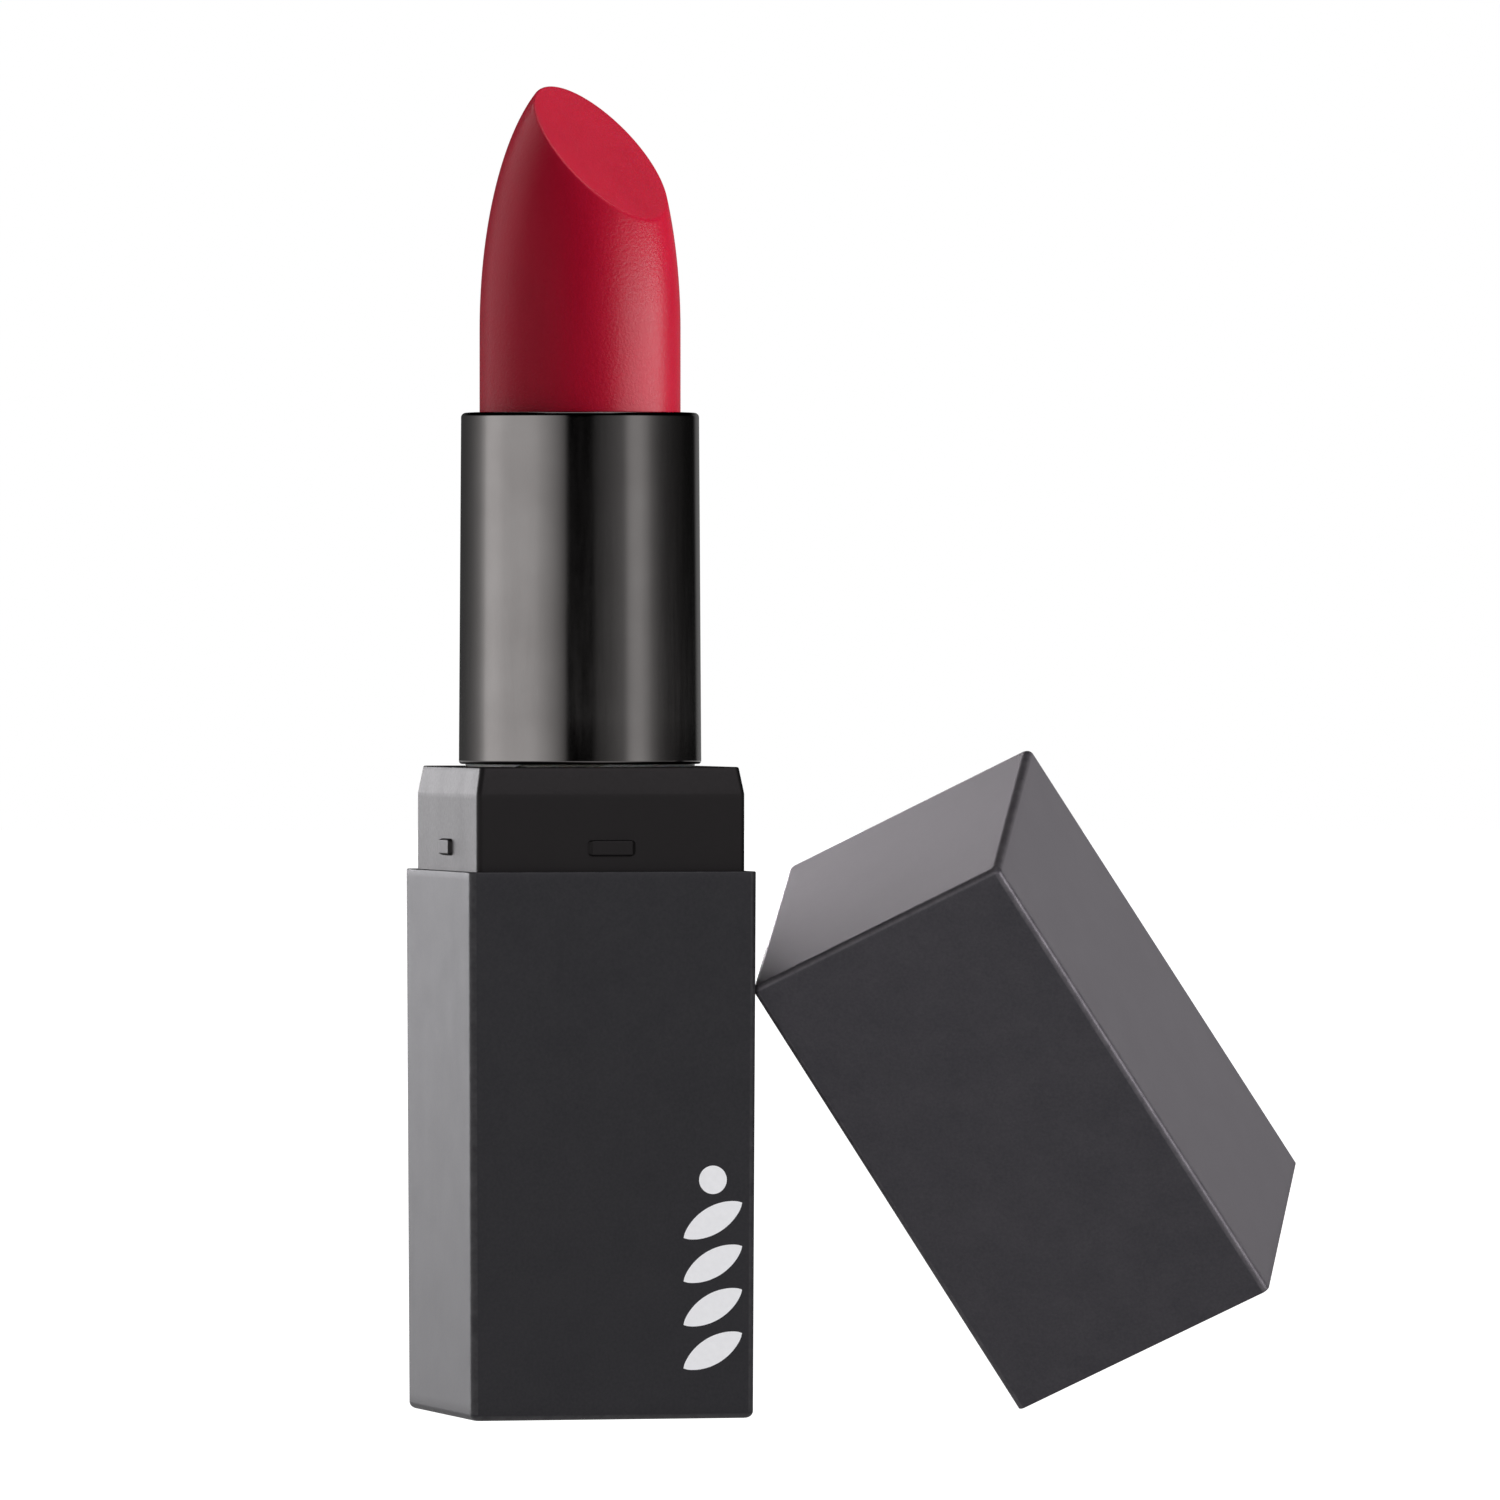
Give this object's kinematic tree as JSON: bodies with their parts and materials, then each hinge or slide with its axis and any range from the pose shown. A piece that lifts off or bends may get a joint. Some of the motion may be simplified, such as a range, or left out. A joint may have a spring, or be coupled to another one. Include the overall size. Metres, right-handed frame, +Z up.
{
  "type": "lipstick case",
  "caption": "Square matte lipstick case, twisted up, with a metal inner sleeve, a slanted wax bullet and its cap leaning beside it.",
  "frame": {"origin": "centre of the base's underside, on the surface that the case stands on", "axes": "+Z up along the bullet, the base's front face (with the printed mark) faces -Y, and the cap lies towards +X"},
  "size_m": [0.0575, 0.0302, 0.0846],
  "materials": {
    "soft_touch_black": "soft-touch matte lacquer",
    "satin_black": "satin",
    "weight_steel": "turned",
    "white_print": "matt",
    "natural_resin": "moulded",
    "ring_rubber": "greased",
    "white_resin": "moulded",
    "gunmetal": "glossy dark anodised",
    "crimson_wax": "satin wax"
  },
  "bodies": {
    "base": {"outer_base": "soft_touch_black", "inner_base": "satin_black", "base_weight": "weight_steel", "base_label": "white_print", "fork_tube": "natural_resin", "damping_ring": "ring_rubber"},
    "sleeve": {"cam_sleeve": "white_resin", "metal_sleeve": "gunmetal"},
    "bullet": {"carrier_cup": "white_resin", "wax_bullet": "crimson_wax"},
    "cap": {"outer_cap": "soft_touch_black", "inner_cap": "satin_black"}
  },
  "joints": [
    {"name": "sleeve_turn", "type": "hinge", "parent": "base", "child": "sleeve", "pos_m": [0, 0, 0.0412], "axis": [0, 0, 1], "range_deg": [0, 630]},
    {"name": "bullet_raise", "type": "slide", "parent": "base", "child": "bullet", "axis": [0, 0, 1], "range_m": [-0.0231, 0]},
    {"name": "cap_lift", "type": "slide", "parent": "base", "child": "cap", "axis": [0, 0, 1], "range_m": [0, 0.06]}
  ],
  "couplings": [
    {"joint": "bullet_raise", "follows": "sleeve_turn", "m_per_rad": -0.0020917}
  ]
}
